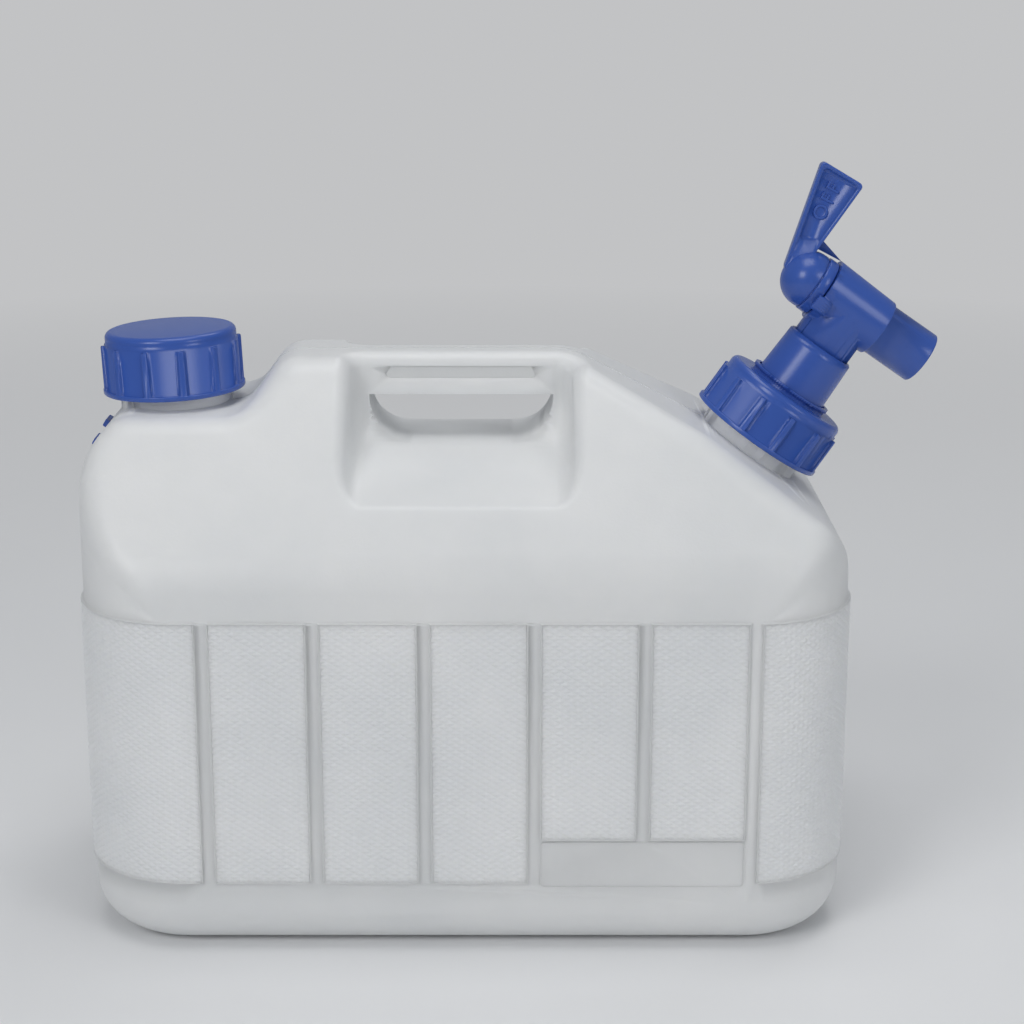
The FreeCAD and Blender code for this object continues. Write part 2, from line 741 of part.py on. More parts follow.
def tap_plug_lever():
    """Valve plug, head and lever blade in one moulding; the plug's port faces the front when it is shut."""
    ring_back = head_face - head_ring_width
    groove_back = ring_back - head_groove_width
    dome_end = groove_back - dome_length
    groove_r = dome_r - head_groove_depth
    points = [(dome_end, 0), (plug_reach, 0), (plug_reach, plug_r), (head_face, plug_r), (head_face, head_ring_r),
              (ring_back, head_ring_r), (ring_back, groove_r), (groove_back, groove_r),
              (groove_back, dome_r), (dome_end, dome_r)]
    plug = barrel_turned(points, [0, 0, 0, 0, head_edge_r, head_edge_r, 0, 0, head_edge_r, dome_edge_r])
    bead = barrel_ring(plug_r + snap_bead_height, plug_inner_r + cut_overrun, snap_groove_place, snap_bead_width)
    outline = [(lever_inner, -lever_foot_drop), (lever_inner, lever_top),
               (lever_outer, lever_top - lever_tip_drop), (dome_end, -lever_foot_drop)]
    blade = rounded_face(outline, [0, lever_corner_r, lever_corner_r, lever_foot_r], on_front)
    blade = blade.extrude(V(0, lever_thickness, 0)).translate(V(0, -lever_thickness / 2, barrel_height))
    sides = [face for face in blade.Faces if face.BoundBox.YLength < 1e-3]
    blade = blade.makeFillet(lever_edge_r, sides[0].Edges + sides[1].Edges)
    fin = flat_face([(lever_inner - fin_root, fin_bottom), (lever_inner + fin_reach, fin_bottom + fin_tip_rise),
                     (lever_inner - fin_root, fin_bottom + fin_height)], on_front)
    fin = fin.extrude(V(0, fin_thickness, 0)).translate(V(0, -fin_thickness / 2, barrel_height))
    hollow = barrel_turned([(head_face + plug_end_wall, 0), (plug_reach + cut_overrun, 0),
                            (plug_reach + cut_overrun, plug_inner_r), (head_face + plug_end_wall, plug_inner_r)])
    port = Part.makeCylinder(port_r, 2 * plug_r, V(0, 0, barrel_height), V(0, -1, 0))
    groove_floor_r = plug_bore_r - ring_clearance - 2 * plug_ring_cord_r
    groove_width = 2 * (plug_ring_cord_r + ring_groove_room)
    cuts = [hollow, port]
    for place in (-plug_ring_place, plug_ring_place):
        cuts.append(barrel_ring(plug_bore_r, groove_floor_r, place, groove_width))
    for side in (-1, 1):
        cuts.append(lever_recess(side, dome_end))
    return moved(one_solid(plug.multiFuse([bead, blade, fin]).cut(cuts)), tap_place)


def lever_recess(side, dome_end):
    """The sunk field on one face of the lever blade, inside a raised rim."""
    outer_foot = lever_recess_foot - lever_recess_slant
    run = (outer_foot + lever_foot_drop) / (lever_top - lever_tip_drop + lever_foot_drop)
    outline = [(lever_inner, lever_recess_foot), (lever_inner, lever_top),
               (lever_outer, lever_top - lever_tip_drop),
               (dome_end + (lever_outer - dome_end) * run, outer_foot)]
    face = rounded_face(inset_outline(outline, lever_rim_width), [lever_corner_r] * 4, on_front)
    face.translate(V(0, side * (lever_thickness / 2 - lever_recess_depth), barrel_height))
    return face.extrude(V(0, side * (lever_recess_depth + cut_overrun), 0))


# Seals

def round_seal(bore_r, cord_r, middle, axis):
    return Part.makeTorus(bore_r - ring_clearance - cord_r, cord_r, middle, axis)


def stem_o_ring():
    return moved(round_seal(sleeve_bore_r, stem_ring_cord_r, V(0, 0, stem_ring_z), UP), tap_place)


def plug_o_ring(place):
    seal = round_seal(plug_bore_r, plug_ring_cord_r, V(place, 0, barrel_height), V(1, 0, 0))
    return moved(seal, tap_place)


# Vent plug

def vent_plug():
    """A push-in plug with a flat head and two finger ears."""
    shank_r = vent_hole_r - run_clearance
    disc_r = vent_recess_r - vent_disc_clearance
    disc_top = -vent_recess_depth + vent_disc_thickness
    pieces = [cylinder(disc_r, -vent_recess_depth, disc_top)]
    for side in (-1, 1):
        middle = side * vent_ear_span / 2
        ear = box((middle - vent_ear_length / 2, -vent_ear_width / 2, -vent_recess_depth),
                  (middle + vent_ear_length / 2, vent_ear_width / 2, disc_top + vent_ear_rise))
        crest = [edge for edge in ear.Edges if edge.BoundBox.ZMin > disc_top]
        pieces.append(ear.makeFillet(cap_edge_r, crest))
    shank = cylinder(shank_r, -vent_recess_depth - vent_shank_length, -vent_recess_depth)
    return moved(one_solid(shank.multiFuse(pieces)), vent_spot())


def main():
    pieces = {
        "bottle_body": bottle_body(),
        "filler_cap": filler_cap(),
        "filler_cap_liner": filler_cap_liner(),
        "tap_ring_nut": tap_ring_nut(),
        "tap_sleeve": tap_sleeve(),
        "tap_flange_gasket": tap_flange_gasket(),
        "tap_body": tap_body(),
        "tap_plug_lever": tap_plug_lever(),
        "stem_o_ring": stem_o_ring(),
        "plug_o_ring_inner": plug_o_ring(-plug_ring_place),
        "plug_o_ring_outer": plug_o_ring(plug_ring_place),
        "vent_plug": vent_plug(),
    }
    for name, piece in pieces.items():
        print(name, piece.isValid(), round(piece.Volume, 1), len(piece.Faces), flush=True)
        piece.exportStep("parts/%s.step" % name)


os.makedirs("parts", exist_ok=True)
main()
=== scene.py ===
import json
import math

import bpy
from mathutils import Matrix, Vector


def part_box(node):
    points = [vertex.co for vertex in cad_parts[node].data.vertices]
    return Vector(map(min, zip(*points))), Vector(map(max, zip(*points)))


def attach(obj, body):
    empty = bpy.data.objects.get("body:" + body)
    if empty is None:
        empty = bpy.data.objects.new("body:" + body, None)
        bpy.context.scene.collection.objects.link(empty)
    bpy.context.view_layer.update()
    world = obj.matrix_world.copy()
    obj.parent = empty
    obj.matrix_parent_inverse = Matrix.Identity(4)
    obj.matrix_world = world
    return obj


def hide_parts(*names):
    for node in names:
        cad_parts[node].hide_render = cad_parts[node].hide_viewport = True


bl_info = {
    "name": "Water Container Looks",
    "version": (1, 0, 0),
    "blender": (4, 5, 0),
    "location": "View3D > Sidebar > Container",
    "description": "Finishes, knurled panels, lettering and stage for a carrying container with a lever tap",
    "category": "Object",
}

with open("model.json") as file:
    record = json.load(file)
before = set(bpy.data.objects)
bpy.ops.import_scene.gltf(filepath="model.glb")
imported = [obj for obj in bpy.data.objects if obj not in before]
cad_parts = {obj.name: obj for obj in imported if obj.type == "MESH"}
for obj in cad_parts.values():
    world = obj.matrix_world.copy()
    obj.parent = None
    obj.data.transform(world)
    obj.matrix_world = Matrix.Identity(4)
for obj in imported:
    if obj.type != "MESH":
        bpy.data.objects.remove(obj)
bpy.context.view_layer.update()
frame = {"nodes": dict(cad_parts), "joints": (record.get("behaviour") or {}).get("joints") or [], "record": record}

BLUE_NODES = ("filler_cap", "tap_ring_nut", "tap_sleeve", "tap_body", "tap_plug_lever", "vent_plug")
SEAL_NODES = ("filler_cap_liner", "tap_flange_gasket", "stem_o_ring", "plug_o_ring_inner",
              "plug_o_ring_outer")
BODY_OF = {node: body for body, nodes in frame["record"]["behaviour"]["bodies"].items() for node in nodes}
BOTTLE_LOW, BOTTLE_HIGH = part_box("bottle_body")
JOINTS = {joint["name"]: joint for joint in frame["joints"]}
BARREL_CENTRE = Vector(JOINTS["lever_turn"]["pos_m"])
BARREL_LINE = Vector(JOINTS["lever_turn"]["axis"])
STEM_LINE = Vector(JOINTS["tap_swivel"]["axis"])

# Wall panels: gaps on each long side, the front panels over the label field, counted from 0 at the left,
# and the cuts in each edge of a panel's rim, which let it follow the wall
GAP_COUNT = 6
SHORT_PANELS = (4, 5)
RIM_CUTS = 23

# Parting line: where each strip starts and ends along X, and the steps it follows the surface in
SEAM_RUNS = (("seam_platform", -0.0975, -0.0700), ("seam_ridge", -0.0700, 0.0970))
SEAM_STEPS = 160
SEAM_START_RISE = 0.02

# Label field's outline
LABEL_CORNER = 0.002
LABEL_EDGE = 0.0002

# Lettering, in the font's own units
WORD_SPACING = 1.25
WORD_EXTRUDE = 0.05
WORD_STROKE = -0.004
WORD_BEVEL = 0.012

# Stage: floor with a swept backdrop, lamps as name, place, size and power, and the camera
FLOOR_SIZE = 6.0
BACKDROP_HEIGHT = 3.0
BACKDROP_SWEEP = 1.2
SWEEP_SEGMENTS = 12
LAMPS = (
    ("key", (-1.0, -1.5, 1.25), 0.8, 11.0),
    ("fill", (1.3, -1.3, 0.9), 0.7, 5.0),
    ("top", (0.0, -0.2, 1.9), 1.0, 9.0),
    ("rim", (0.6, 0.9, 2.0), 0.8, 5.0),
)
LAMP_TARGET = Vector((0, 0, 0.13))
WORLD_COLOUR = (0.9, 0.94, 1.0, 1.0)
WORLD_STRENGTH = 0.26
NEAR_FLOOR, FAR_FLOOR = 0.45, 1.6
CAMERA_PLACE = (0.0186, -0.895, 0.4006)
CAMERA_TILT = math.radians(75)
CAMERA_SENSOR = 36.0
CAMERA_LENS = 77.34


def length_prop(name, default, description):
    return bpy.props.FloatProperty(name=name, default=default, description=description, min=0.0,
                                   unit="LENGTH", subtype="DISTANCE", precision=5)


def colour_prop(name, default, description):
    return bpy.props.FloatVectorProperty(name=name, default=default, description=description,
                                         subtype="COLOR", size=3, min=0.0, max=1.0)


class ContainerSizes(bpy.types.PropertyGroup):
    """Sizes of the details that sit on the container."""

    panel_height: length_prop("Panel height", 0.0009, "How far the wall panels stand out of the wall")
    panel_bottom: length_prop("Panel bottom", 0.030, "Height of the panels' foot")
    panel_top: length_prop("Panel top", 0.1392, "Height of the panels' head")
    short_bottom: length_prop("Short panel bottom", 0.0485, "Foot of the panels over the label field")
    panel_pitch: length_prop("Panel pitch", 0.0431, "Distance between the gaps")
    panel_gap: length_prop("Panel gap", 0.0045, "Width of the gaps between panels")
    panel_shift: length_prop("Panel shift", 0.0057, "How far the row of gaps is moved towards the tap")
    corner_radius: length_prop("Corner radius", 0.042, "Radius of the wall's upright corners")
    rim_inset: length_prop("Rim inset", 0.0005, "Distance of the panels' raised rim from their edge")
    rim_radius: length_prop("Rim radius", 0.00042, "Radius of the panels' raised rim")
    knurl_margin: length_prop("Knurl margin", 0.00085, "Border round each knurled pad, under the rim")
    diamond_width: length_prop("Diamond width", 0.0046, "Width of one knurl diamond")
    diamond_height: length_prop("Diamond height", 0.0027, "Height of one knurl diamond")
    diamond_relief: length_prop("Diamond relief", 0.00036, "How far a diamond's top stands out")
    knurl_lift: length_prop("Knurl lift", 0.00005, "Height of the knurl's valleys over the panel")
    label_frame_width: length_prop("Label frame width", 0.0007,
                                   "Width of the raised line round the label field")
    label_frame_relief: length_prop("Label frame relief", 0.00035, "Height of that line")
    label_low: length_prop("Label foot", 0.0282, "Height of the label field's foot")
    seam_width: length_prop("Seam width", 0.0007, "Width of the mould's parting line")
    seam_relief: length_prop("Seam relief", 0.00022, "Height of the mould's parting line")
    letter_length: length_prop("Lettering length", 0.0156, "Length of the word on the lever")
    letter_relief: length_prop("Lettering relief", 0.0006, "Height of the letters")
    lever_face: length_prop("Lever face", 0.0017, "Distance of the lever's sunk field from its middle plane")
    letter_along: length_prop("Lettering place", 0.0298,
                              "Distance of the word's middle from the barrel's axis")
    letter_back: length_prop("Lettering offset", 0.0337,
                             "Distance of the word's middle behind the barrel's centre")
    letter_lean: bpy.props.FloatProperty(name="Lettering lean", default=math.radians(7.4), subtype="ANGLE",
                                         description="Lean of the word along the lever's middle line")


class ContainerFinishes(bpy.types.PropertyGroup):
    """Colours of the container and its stage."""

    bottle_thin: colour_prop("Thin wall", (0.765, 0.78, 0.792), "Colour where the wall is thin")
    bottle_thick: colour_prop("Thick wall", (0.85, 0.856, 0.86), "Colour where the wall is thick")
    blue_deep: colour_prop("Deep blue", (0.011, 0.050, 0.26), "Darker tone of the blue mouldings")
    blue_light: colour_prop("Light blue", (0.015, 0.066, 0.33), "Lighter tone of the blue mouldings")
    seal: colour_prop("Seal", (0.035, 0.035, 0.037), "Colour of the seals")
    floor: colour_prop("Floor", (0.82, 0.825, 0.83), "Colour of the floor and backdrop")
    distance_tone: colour_prop("Distance", (0.54, 0.545, 0.555),
                               "Even tone of the floor away from the object")


class Value:
    """A shader socket with a number: arithmetic on it adds Math nodes."""

    def __init__(self, sheet, socket):
        self.sheet = sheet
        self.socket = socket

    def math(self, operation, first, second):
        return self.sheet.add("ShaderNodeMath", {"operation": operation}, {0: first, 1: second})

    def __add__(self, other):
        return self.math("ADD", self, other)

    __radd__ = __add__

    def __sub__(self, other):
        return self.math("SUBTRACT", self, other)

    def __mul__(self, other):
        return self.math("MULTIPLY", self, other)


class Sheet:
    """The node tree of one new material."""

    def __init__(self, name):
        self.material = bpy.data.materials.new(name)
        self.material.use_nodes = True
        self.tree = self.material.node_tree
        self.surface = self.tree.nodes["Principled BSDF"]

    def add(self, kind, settings=None, inputs=None, output=0):
        node = self.tree.nodes.new(kind)
        for key, value in (settings or {}).items():
            setattr(node, key, value)
        for key, value in (inputs or {}).items():
            self.feed(node.inputs[key], value)
        return Value(self, node.outputs[output])

    def feed(self, socket, value):
        if isinstance(value, Value):
            self.tree.links.new(value.socket, socket)
        else:
            socket.default_value = value

    def set(self, **inputs):
        for key, value in inputs.items():
            self.feed(self.surface.inputs[key.replace("_", " ")], value)

    def place(self):
        return self.add("ShaderNodeTexCoord", output="Object")

    def noise(self, scale, detail=3.0, roughness=0.55):
        return self.add("ShaderNodeTexNoise", {}, {"Vector": self.place(), "Scale": scale, "Detail": detail,
                                                   "Roughness": roughness})

    def blend(self, factor, first, second):
        mix = self.tree.nodes.new("ShaderNodeMix")
        mix.data_type = "RGBA"
        self.feed(mix.inputs["Factor"], factor)
        self.feed(mix.inputs["A"], (*first, 1.0))
        self.feed(mix.inputs["B"], (*second, 1.0))
        return Value(self, mix.outputs["Result"])

    def spread(self, value, low, high):
        return self.add("ShaderNodeMapRange", {"clamp": True},
                        {"Value": value, "From Min": low, "From Max": high, "To Min": 0.0, "To Max": 1.0})

    def bump(self, height, strength, distance):
        return self.add("ShaderNodeBump", {}, {"Height": height, "Strength": strength, "Distance": distance})


def bottle_plastic(finishes):
    """Milky blown polyethylene: cloudy where the wall's thickness changes, satin, with fine die lines."""
    sheet = Sheet("bottle_plastic")
    clouds = sheet.spread(sheet.noise(14.0, 4.0), 0.3, 0.7)
    grain = sheet.noise(900.0, 2.0)
    ripple = sheet.noise(45.0, 2.0)
    sheet.set(Base_Color=sheet.blend(clouds, finishes.bottle_thin, finishes.bottle_thick),
              Roughness=0.40 + grain * 0.10 - clouds * 0.04,
              Normal=sheet.bump(ripple * 0.8 + grain * 0.2, 0.10, 0.002))
    sheet.surface.subsurface_method = "RANDOM_WALK"
    sheet.set(Subsurface_Weight=0.35, Subsurface_Radius=(1.0, 1.0, 1.1), Subsurface_Scale=0.006, IOR=1.5,
              Coat_Roughness=0.3, Coat_Weight=0.12)
    return sheet.material


def blue_plastic(finishes):
    """Glossy moulded polypropylene with faint flow marks and fine handling scuffs."""
    sheet = Sheet("blue_plastic")
    flow = sheet.spread(sheet.noise(60.0, 3.0), 0.3, 0.7)
    scuffs = sheet.spread(sheet.noise(700.0, 5.0, 0.7), 0.56, 0.72)
    orange_peel = sheet.noise(320.0, 2.0)
    sheet.set(Base_Color=sheet.blend(flow, finishes.blue_deep, finishes.blue_light),
              Roughness=0.22 + flow * 0.05 + scuffs * 0.16,
              Normal=sheet.bump(orange_peel, 0.08, 0.001),
              IOR=1.49, Specular_IOR_Level=0.12)
    return sheet.material


def seal_rubber(finishes):
    """Soft dull sealing rubber."""
    sheet = Sheet("seal_rubber")
    dust = sheet.spread(sheet.noise(400.0, 3.0), 0.45, 0.75)
    lighter = tuple(channel * 1.8 for channel in finishes.seal)
    sheet.set(Base_Color=sheet.blend(dust, finishes.seal, lighter), Roughness=0.68 + dust * 0.12)
    return sheet.material


def stage_paint(finishes):
    """Pale matt paint near the object, and one even tone further away."""
    sheet = Sheet("stage_paint")
    tone = sheet.spread(sheet.noise(3.0, 2.0), 0.2, 0.8)
    lighter = tuple(min(1.0, channel * 1.03) for channel in finishes.floor)
    sheet.set(Base_Color=sheet.blend(tone, finishes.floor, lighter), Roughness=0.75)
    distance = sheet.add("ShaderNodeVectorMath", {"operation": "LENGTH"}, {0: sheet.place()}, "Value")
    sight = sum(sheet.add("ShaderNodeLightPath", output=ray)
                for ray in ("Is Camera Ray", "Is Transmission Ray"))
    glow = sheet.add("ShaderNodeEmission", {}, {"Color": (*finishes.distance_tone, 1.0)})
    near = Value(sheet, sheet.surface.outputs["BSDF"])
    far = sheet.spread(distance, NEAR_FLOOR, FAR_FLOOR)
    mixed = sheet.add("ShaderNodeMixShader", {}, {0: sight * far, 1: near, 2: glow})
    sheet.feed(sheet.tree.nodes["Material Output"].inputs["Surface"], mixed)
    return sheet.material


MAKERS = {"bottle_plastic": bottle_plastic, "blue_plastic": blue_plastic, "seal_rubber": seal_rubber,
          "stage_paint": stage_paint}


def material(name):
    """A finish by name, made on first use from the scene's colours."""
    found = bpy.data.materials.get(name)
    return found or MAKERS[name](bpy.context.scene.container_finishes)


def deselect():
    if bpy.context.object and bpy.context.object.mode != "OBJECT":
        bpy.ops.object.mode_set(mode="OBJECT")
    bpy.ops.object.select_all(action="DESELECT")


def only(obj):
    """Make an object the one that operators act on."""
    deselect()
    obj.select_set(True)
    bpy.context.view_layer.objects.active = obj
    return obj


def editing(obj):
    only(obj)
    bpy.ops.object.mode_set(mode="EDIT")
    bpy.ops.mesh.select_all(action="SELECT")


def settle(obj):
    """Put an object's place into its mesh, so that it sits at the origin."""
    only(obj)
    bpy.ops.object.transform_apply(location=True, rotation=True, scale=True)
    return obj


def dress(obj, finish, body):
    obj.data.materials.clear()
    obj.data.materials.append(material(finish))
    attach(obj, body)
    return obj


def smooth_copy(node, finish, angle=28.0):
    """A merged copy of a CAD node with soft shading, which stands for the node."""
    source = frame["nodes"][node]
    copy = bpy.data.objects.new(node + "_moulding", source.data.copy())
    bpy.context.scene.collection.objects.link(copy)
    editing(copy)
    bpy.ops.mesh.remove_doubles(threshold=1e-6)
    bpy.ops.object.mode_set(mode="OBJECT")
    only(copy)
    bpy.ops.object.shade_smooth_by_angle(angle=math.radians(angle))
    dress(copy, finish, BODY_OF[node])
    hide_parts(node)
    return copy


def knurled_sheet(name, width, height, sizes):
    """A flat sheet of low pyramids on a diamond lattice, facing up, with a short skirt round its edge."""
    cells = 2 * math.ceil((width / sizes.diamond_width + height / sizes.diamond_height) / 2) + 2
    deselect()
    bpy.ops.mesh.primitive_grid_add(x_subdivisions=cells, y_subdivisions=cells, size=cells / math.sqrt(2),
                                    rotation=(0, 0, math.pi / 4))
    pad = bpy.context.object
    pad.name = name
    settle(pad)
    pad.scale = (sizes.diamond_width, sizes.diamond_height, 1.0)
    settle(pad)
    editing(pad)
    bpy.ops.mesh.poke(offset=sizes.diamond_relief, use_relative_offset=False, center_mode="MEDIAN")
    for normal, reach in (((1, 0, 0), width), ((-1, 0, 0), width), ((0, 1, 0), height), ((0, -1, 0), height)):
        bpy.ops.mesh.select_all(action="SELECT")
        bpy.ops.mesh.bisect(plane_co=Vector(normal) * reach / 2, plane_no=normal, clear_outer=True)
    bpy.ops.mesh.select_mode(type="EDGE")
    bpy.ops.mesh.select_all(action="DESELECT")
    bpy.ops.mesh.select_non_manifold(extend=False, use_wire=False, use_boundary=True, use_multi_face=False,
                                     use_non_contiguous=False, use_verts=False)
    bpy.ops.mesh.extrude_edges_move(TRANSFORM_OT_translate={"value": (0, 0, -2 * sizes.diamond_relief)})
    bpy.ops.object.mode_set(mode="OBJECT")
    return pad


def panel_rim(width, height, sizes):
    """A round bead that runs along the edges of a flat rectangle."""
    deselect()
    bpy.ops.mesh.primitive_plane_add(size=1.0)
    rim = bpy.context.object
    rim.scale = (width, height, 1.0)
    settle(rim)
    editing(rim)
    bpy.ops.mesh.delete(type="ONLY_FACE")
    bpy.ops.mesh.select_all(action="SELECT")
    bpy.ops.mesh.subdivide(number_cuts=RIM_CUTS)
    bpy.ops.object.mode_set(mode="OBJECT")
    bpy.ops.object.convert(target="CURVE")
    rim = bpy.context.object
    rim.data.bevel_depth = sizes.rim_radius
    rim.data.bevel_resolution = 1
    bpy.ops.object.convert(target="MESH")
    rim = bpy.context.object
    bpy.ops.object.shade_smooth_by_angle(angle=math.radians(60))
    return rim


def wall_measures(sizes):
    """Half length, half depth and corner radius of the panels' face."""
    half_length = (BOTTLE_HIGH.x - BOTTLE_LOW.x) / 2
    half_depth = (BOTTLE_HIGH.y - BOTTLE_LOW.y) / 2
    return half_length, half_depth, sizes.corner_radius + sizes.panel_height


def wall_point(along, out, sizes):
    """A point of the panels' face, by its distance along the wall from the middle of the front."""
    half_length, half_depth, radius = wall_measures(sizes)
    straight = half_length - radius
    bend = radius * math.pi / 2
    side = math.copysign(1.0, along)
    past = abs(along) - straight
    if past <= 0:
        return along, -half_depth - out
    if past <= bend:
        turn = past / radius
        reach = radius + out
        return (side * (straight + reach * math.sin(turn)),
                -(half_depth - radius) - reach * math.cos(turn))
    return side * (half_length + out), -(half_depth - radius) + past - bend


def wrap_on_wall(pad, start, end, low, high, sizes, back):
    """Lay a flat sheet on the wall between two distances along it and two heights."""
    turn = -1.0 if back else 1.0
    for vertex in pad.data.vertices:
        along, rise, out = vertex.co
        x, y = wall_point((start + end) / 2 + along, out + sizes.knurl_lift, sizes)
        vertex.co = (turn * x, turn * y, (low + high) / 2 + rise)
    pad.data.update()


def panel_gaps(sizes):
    """Places along X of the middles of the gaps between panels."""
    first = sizes.panel_shift - (GAP_COUNT - 1) / 2 * sizes.panel_pitch
    return [first + sizes.panel_pitch * i for i in range(GAP_COUNT)]


def side_reach(sizes):
    """Distance along the wall from the middle of the front to the middle of an end."""
    half_length, half_depth, radius = wall_measures(sizes)
    return half_length - radius + radius * math.pi / 2 + half_depth - radius


class CONTAINER_OT_bottle(bpy.types.Operator):
    """Give the blown bottle its milky plastic"""

    bl_idname = "container.bottle"
    bl_label = "Bottle"

    def execute(self, context):
        smooth_copy("bottle_body", "bottle_plastic", 24.0)
        return {"FINISHED"}


class CONTAINER_OT_blue_mouldings(bpy.types.Operator):
    """Give the cap, nut, tap and vent plug their blue plastic"""

    bl_idname = "container.blue_mouldings"
    bl_label = "Blue Mouldings"

    def execute(self, context):
        for node in BLUE_NODES:
            smooth_copy(node, "blue_plastic", 32.0)
        return {"FINISHED"}


class CONTAINER_OT_seals(bpy.types.Operator):
    """Give the liner, gasket and round seals their rubber"""

    bl_idname = "container.seals"
    bl_label = "Seals"

    def execute(self, context):
        for node in SEAL_NODES:
            smooth_copy(node, "seal_rubber", 40.0)
        return {"FINISHED"}


class CONTAINER_OT_knurled_pads(bpy.types.Operator):
    """Cover the wall panels with a fine diamond knurl"""

    bl_idname = "container.knurled_pads"
    bl_label = "Knurled Pads"

    def execute(self, context):
        sizes = context.scene.container_sizes
        gaps = panel_gaps(sizes)
        edge = sizes.panel_gap / 2 + sizes.knurl_margin
        end = side_reach(sizes)
        for back in (False, True):
            name = "knurl_back" if back else "knurl_front"
            spots = sorted(-gap for gap in gaps) if back else gaps
            stops = [-end] + spots + [end]
            for i, (left, right) in enumerate(zip(stops, stops[1:])):
                over_label = not back and i in SHORT_PANELS
                low = (sizes.short_bottom if over_label else sizes.panel_bottom) + sizes.knurl_margin
                high = sizes.panel_top - sizes.knurl_margin
                start, finish = left + edge, right - edge
                pad = knurled_sheet("%s_%d" % (name, i + 1), finish - start, high - low, sizes)
                grow = 2 * (sizes.knurl_margin - sizes.rim_inset)
                rim = panel_rim(finish - start + grow, high - low + grow, sizes)
                only(pad)
                rim.select_set(True)
                bpy.ops.object.join()
                wrap_on_wall(pad, start, finish, low, high, sizes, back)
                dress(pad, "bottle_plastic", "bottle")
        return {"FINISHED"}


class CONTAINER_OT_label_frame(bpy.types.Operator):
    """Raise a thin line round the plain label field"""

    bl_idname = "container.label_frame"
    bl_label = "Label Frame"

    def execute(self, context):
        sizes = context.scene.container_sizes
        gaps = panel_gaps(sizes)
        left = gaps[SHORT_PANELS[0] - 1] + sizes.panel_gap / 2
        right = gaps[SHORT_PANELS[-1]] - sizes.panel_gap / 2
        low, high = sizes.label_low, sizes.short_bottom - sizes.label_frame_width
        deselect()
        bpy.ops.mesh.primitive_plane_add(size=1.0, rotation=(math.pi / 2, 0, 0))
        line = bpy.context.object
        line.name = "label_frame"
        line.scale = (right - left, high - low, 1.0)
        wall = BOTTLE_LOW.y + sizes.panel_height
        line.location = ((left + right) / 2, wall, (low + high) / 2)
        settle(line)
        editing(line)
        bpy.ops.mesh.select_mode(type="VERT")
        bpy.ops.mesh.bevel(offset=LABEL_CORNER, segments=5, affect="VERTICES")
        bpy.ops.mesh.select_mode(type="FACE")
        bpy.ops.mesh.select_all(action="SELECT")
        bpy.ops.mesh.inset(thickness=sizes.label_frame_width, depth=0.0)
        bpy.ops.mesh.delete(type="FACE")
        bpy.ops.mesh.select_all(action="SELECT")
        bpy.ops.mesh.extrude_region_move(
            TRANSFORM_OT_translate={"value": (0, -sizes.label_frame_relief, 0)})
        bpy.ops.mesh.select_all(action="SELECT")
        bpy.ops.mesh.normals_make_consistent(inside=False)
        bpy.ops.object.mode_set(mode="OBJECT")
        soften = line.modifiers.new("soften", "BEVEL")
        soften.width = LABEL_EDGE
        soften.segments = 2
        only(line)
        bpy.ops.object.modifier_apply(modifier=soften.name)
        dress(line, "bottle_plastic", "bottle")
        return {"FINISHED"}


class CONTAINER_OT_mould_seam(bpy.types.Operator):
    """Lay the mould's parting line along the middle of the bottle's top"""

    bl_idname = "container.mould_seam"
    bl_label = "Mould Seam"

    def execute(self, context):
        sizes = context.scene.container_sizes
        for name, start, end in SEAM_RUNS:
            deselect()
            bpy.ops.mesh.primitive_grid_add(x_subdivisions=SEAM_STEPS, y_subdivisions=2, size=1.0)
            strip = bpy.context.object
            strip.name = name
            strip.scale = (end - start, sizes.seam_width, 1.0)
            strip.location = ((start + end) / 2, 0, BOTTLE_HIGH.z + SEAM_START_RISE)
            settle(strip)
            fit = strip.modifiers.new("fit", "SHRINKWRAP")
            fit.target = frame["nodes"]["bottle_body"]
            fit.wrap_method = "PROJECT"
            fit.use_project_z = True
            fit.use_negative_direction = True
            fit.use_positive_direction = False
            only(strip)
            bpy.ops.object.modifier_apply(modifier=fit.name)
            wall = strip.modifiers.new("wall", "SOLIDIFY")
            wall.thickness = 2 * sizes.seam_relief
            wall.offset = 0.0
            bpy.ops.object.modifier_apply(modifier=wall.name)
            bpy.ops.object.shade_smooth_by_angle(angle=math.radians(50))
            dress(strip, "bottle_plastic", "bottle")
        return {"FINISHED"}


class CONTAINER_OT_lever_word(bpy.types.Operator):
    """Raise the word OFF on the lever's front face"""

    bl_idname = "container.lever_word"
    bl_label = "Lever Word"

    def execute(self, context):
        sizes = context.scene.container_sizes
        deselect()
        bpy.ops.object.text_add()
        word = bpy.context.object
        word.data.body = "OFF"
        word.data.align_x = "CENTER"
        word.data.align_y = "CENTER"
        word.data.space_character = WORD_SPACING
        word.data.extrude = WORD_EXTRUDE
        word.data.offset = WORD_STROKE
        word.data.bevel_depth = WORD_BEVEL
        word.data.bevel_resolution = 1
        bpy.ops.object.convert(target="MESH")
        word = bpy.context.object
        word.name = "lever_word"
        size = sizes.letter_length / word.dimensions.x
        depth = sizes.letter_relief / word.dimensions.z
        lean = sizes.letter_lean
        reading = (STEM_LINE * math.cos(lean) - BARREL_LINE * math.sin(lean)).normalized()
        facing = Vector((0, -1, 0))
        upright = facing.cross(reading)
        middle = (BARREL_CENTRE + STEM_LINE * sizes.letter_along - BARREL_LINE * sizes.letter_back
                  + facing * sizes.lever_face)
        turn = Matrix((reading, upright, facing)).transposed().to_4x4()
        word.matrix_world = (Matrix.Translation(middle) @ turn
                             @ Matrix.Diagonal((size, size, 2 * depth, 1.0)))
        settle(word)
        bpy.ops.object.shade_smooth_by_angle(angle=math.radians(30))
        dress(word, "blue_plastic", BODY_OF["tap_plug_lever"])
        return {"FINISHED"}


